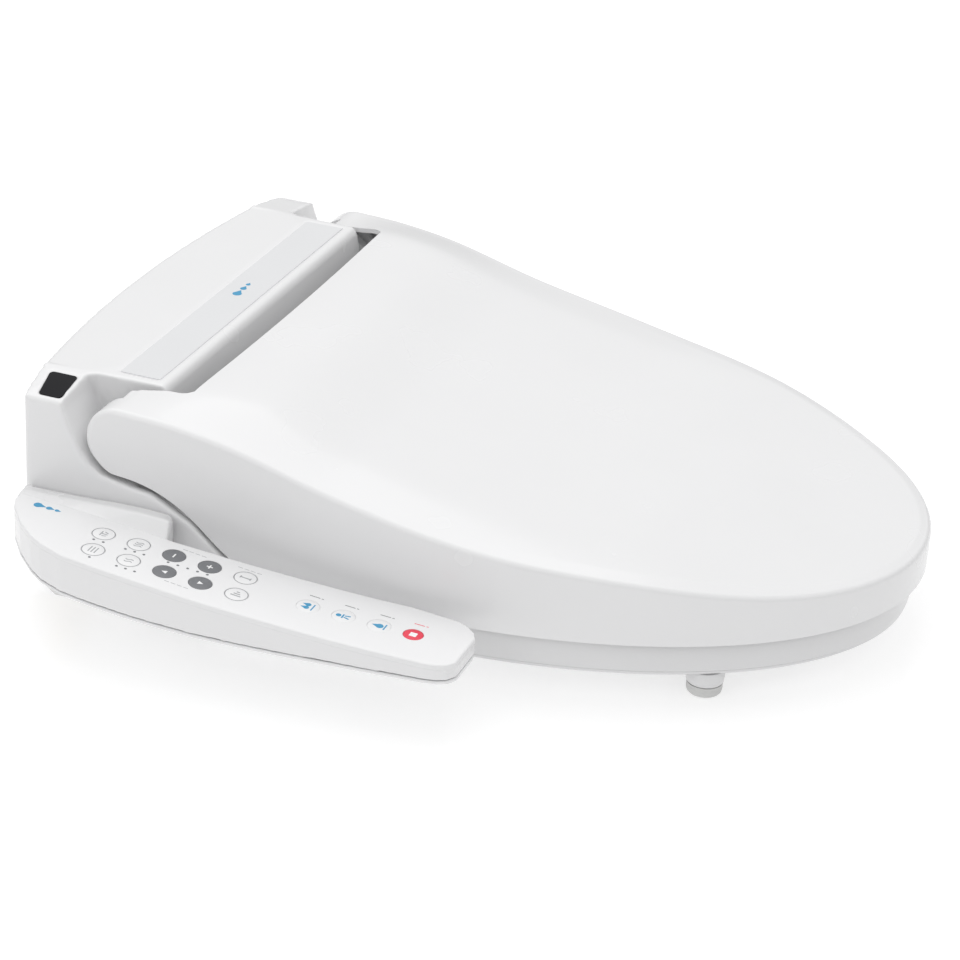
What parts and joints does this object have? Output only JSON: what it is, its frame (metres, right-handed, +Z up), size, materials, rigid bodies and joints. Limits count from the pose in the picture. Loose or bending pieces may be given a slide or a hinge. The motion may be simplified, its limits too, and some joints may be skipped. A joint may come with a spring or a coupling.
{
  "type": "electric bidet seat",
  "caption": "White washlet-style toilet seat with hinged lid and seat, rear housing with sliding spray nozzles, and a side arm of push keys.",
  "frame": {"origin": "centre of the bolt line on the underside of the mounting plate, where the plate lies on the bowl's rim", "axes": "+Y runs from the front tip of the lid to the rear of the housing, +Z up, +X towards the side without the control arm"},
  "size_m": [0.4427, 0.5274, 0.1361],
  "materials": {
    "white": "gloss white, injection moulded",
    "inlay": "gloss light grey",
    "smoked": "smoked, gloss",
    "key_white": "satin white",
    "key_grey": "satin dark grey",
    "key_red": "satin red",
    "overlay": "satin white film",
    "rubber": "soft, off-white",
    "steel": "satin",
    "brass": "satin",
    "inner": "matte grey",
    "board": "matte green",
    "foil": "thin foil",
    "nozzle": "gloss white"
  },
  "bodies": {
    "housing": {"housing_cover": "white", "housing_base": "white", "nozzle_shroud": "white", "arm_upper_cover": "white", "arm_lower_cover": "white", "top_inlay": "inlay", "sensor_window": "smoked", "control_overlay": "overlay", "hinge_pin_left": "steel", "hinge_pin_right": "steel", "nozzle_motor_rear": "steel", "nozzle_motor_front": "steel", "solenoid_valve": "steel", "water_inlet": "brass", "mounting_plate": "inner", "seat_damper": "inner", "lid_damper": "inner", "nozzle_bracket": "inner", "water_heater": "inner", "water_pump": "inner", "cord_gland": "inner", "main_board": "board", "sensor_board": "board", "arm_board": "board"},
    "seat": {"seat_upper_shell": "white", "seat_lower_shell": "white", "foot_collar_front_left": "white", "foot_collar_front_right": "white", "foot_collar_rear_left": "white", "foot_collar_rear_right": "white", "foot_pad_front_left": "rubber", "foot_pad_front_right": "rubber", "foot_pad_rear_left": "rubber", "foot_pad_rear_right": "rubber", "seat_heater": "foil"},
    "lid": {"lid_shell": "white", "lid_bumper_left": "rubber", "lid_bumper_right": "rubber"},
    "rear_nozzle": {"nozzle_rear": "nozzle", "nozzle_rear_tip": "nozzle"},
    "front_nozzle": {"nozzle_front": "nozzle", "nozzle_front_tip": "nozzle"},
    "rear_pinion": {"pinion_rear": "inner"},
    "front_pinion": {"pinion_front": "inner"},
    "release": {"release_button": "white", "release_latch": "inner"},
    "key_cleaning_cap": {"key_cleaning": "key_white"},
    "key_eco_cap": {"key_eco": "key_white"},
    "key_seat_heat_cap": {"key_seat_heat": "key_white"},
    "key_water_heat_cap": {"key_water_heat": "key_white"},
    "key_minus_cap": {"key_minus": "key_grey"},
    "key_back_cap": {"key_back": "key_grey"},
    "key_plus_cap": {"key_plus": "key_grey"},
    "key_forward_cap": {"key_forward": "key_grey"},
    "key_wide_cap": {"key_wide": "key_white"},
    "key_pulse_cap": {"key_pulse": "key_white"},
    "key_massage_cap": {"key_massage": "key_white"},
    "key_front_wash_cap": {"key_front_wash": "key_white"},
    "key_rear_wash_cap": {"key_rear_wash": "key_white"},
    "key_stop_cap": {"key_stop": "key_red"}
  },
  "joints": [
    {"name": "seat_hinge", "type": "hinge", "parent": "housing", "child": "seat", "pos_m": [0, -0.02, 0.1105], "axis": [-1, 0, 0], "range_deg": [0, 100]},
    {"name": "lid_hinge", "type": "hinge", "parent": "seat", "child": "lid", "pos_m": [0, -0.02, 0.1105], "axis": [1, 0, 0], "range_deg": [-100, 0]},
    {"name": "rear_nozzle_slide", "type": "slide", "parent": "housing", "child": "rear_nozzle", "axis": [0, -0.866, -0.5], "range_m": [0, 0.075]},
    {"name": "front_nozzle_slide", "type": "slide", "parent": "housing", "child": "front_nozzle", "axis": [0, -0.866, -0.5], "range_m": [0, 0.075]},
    {"name": "rear_pinion_spin", "type": "hinge", "parent": "housing", "child": "rear_pinion", "pos_m": [0.0105, -0.02875, 0.06456], "axis": [-1, 0, 0], "range_deg": [0, 717]},
    {"name": "front_pinion_spin", "type": "hinge", "parent": "housing", "child": "front_pinion", "pos_m": [-0.0105, -0.02875, 0.06456], "axis": [-1, 0, 0], "range_deg": [0, 717]},
    {"name": "release_slide", "type": "slide", "parent": "housing", "child": "release", "axis": [-1, 0, 0], "range_m": [0, 0.0045], "stiffness_N_per_m": 900},
    {"name": "key_cleaning_press", "type": "slide", "parent": "housing", "child": "key_cleaning_cap", "axis": [0, 0.0964, -0.9953], "range_m": [0, 0.00035], "stiffness_N_per_m": 1500},
    {"name": "key_eco_press", "type": "slide", "parent": "housing", "child": "key_eco_cap", "axis": [0, 0.0992, -0.9951], "range_m": [0, 0.00035], "stiffness_N_per_m": 1500},
    {"name": "key_seat_heat_press", "type": "slide", "parent": "housing", "child": "key_seat_heat_cap", "axis": [0, 0.1101, -0.9939], "range_m": [0, 0.00035], "stiffness_N_per_m": 1500},
    {"name": "key_water_heat_press", "type": "slide", "parent": "housing", "child": "key_water_heat_cap", "axis": [0, 0.111, -0.9938], "range_m": [0, 0.00035], "stiffness_N_per_m": 1500},
    {"name": "key_minus_press", "type": "slide", "parent": "housing", "child": "key_minus_cap", "axis": [0, 0.1155, -0.9933], "range_m": [0, 0.00035], "stiffness_N_per_m": 1500},
    {"name": "key_back_press", "type": "slide", "parent": "housing", "child": "key_back_cap", "axis": [0, 0.1168, -0.9931], "range_m": [0, 0.00035], "stiffness_N_per_m": 1500},
    {"name": "key_plus_press", "type": "slide", "parent": "housing", "child": "key_plus_cap", "axis": [0, 0.1156, -0.9933], "range_m": [0, 0.00035], "stiffness_N_per_m": 1500},
    {"name": "key_forward_press", "type": "slide", "parent": "housing", "child": "key_forward_cap", "axis": [0, 0.1138, -0.9935], "range_m": [0, 0.00035], "stiffness_N_per_m": 1500},
    {"name": "key_wide_press", "type": "slide", "parent": "housing", "child": "key_wide_cap", "axis": [0, 0.107, -0.9943], "range_m": [0, 0.00035], "stiffness_N_per_m": 1500},
    {"name": "key_pulse_press", "type": "slide", "parent": "housing", "child": "key_pulse_cap", "axis": [0, 0.1059, -0.9944], "range_m": [0, 0.00035], "stiffness_N_per_m": 1500},
    {"name": "key_massage_press", "type": "slide", "parent": "housing", "child": "key_massage_cap", "axis": [0, 0.0891, -0.996], "range_m": [0, 0.00035], "stiffness_N_per_m": 1500},
    {"name": "key_front_wash_press", "type": "slide", "parent": "housing", "child": "key_front_wash_cap", "axis": [0, 0.0723, -0.9974], "range_m": [0, 0.00035], "stiffness_N_per_m": 1500},
    {"name": "key_rear_wash_press", "type": "slide", "parent": "housing", "child": "key_rear_wash_cap", "axis": [0, 0.0562, -0.9984], "range_m": [0, 0.00035], "stiffness_N_per_m": 1500},
    {"name": "key_stop_press", "type": "slide", "parent": "housing", "child": "key_stop_cap", "axis": [0, 0.0507, -0.9987], "range_m": [0, 0.00035], "stiffness_N_per_m": 1500}
  ],
  "couplings": [
    {"joint": "rear_pinion_spin", "follows": "rear_nozzle_slide", "rad_per_m": 166.67},
    {"joint": "front_pinion_spin", "follows": "front_nozzle_slide", "rad_per_m": 166.67}
  ]
}
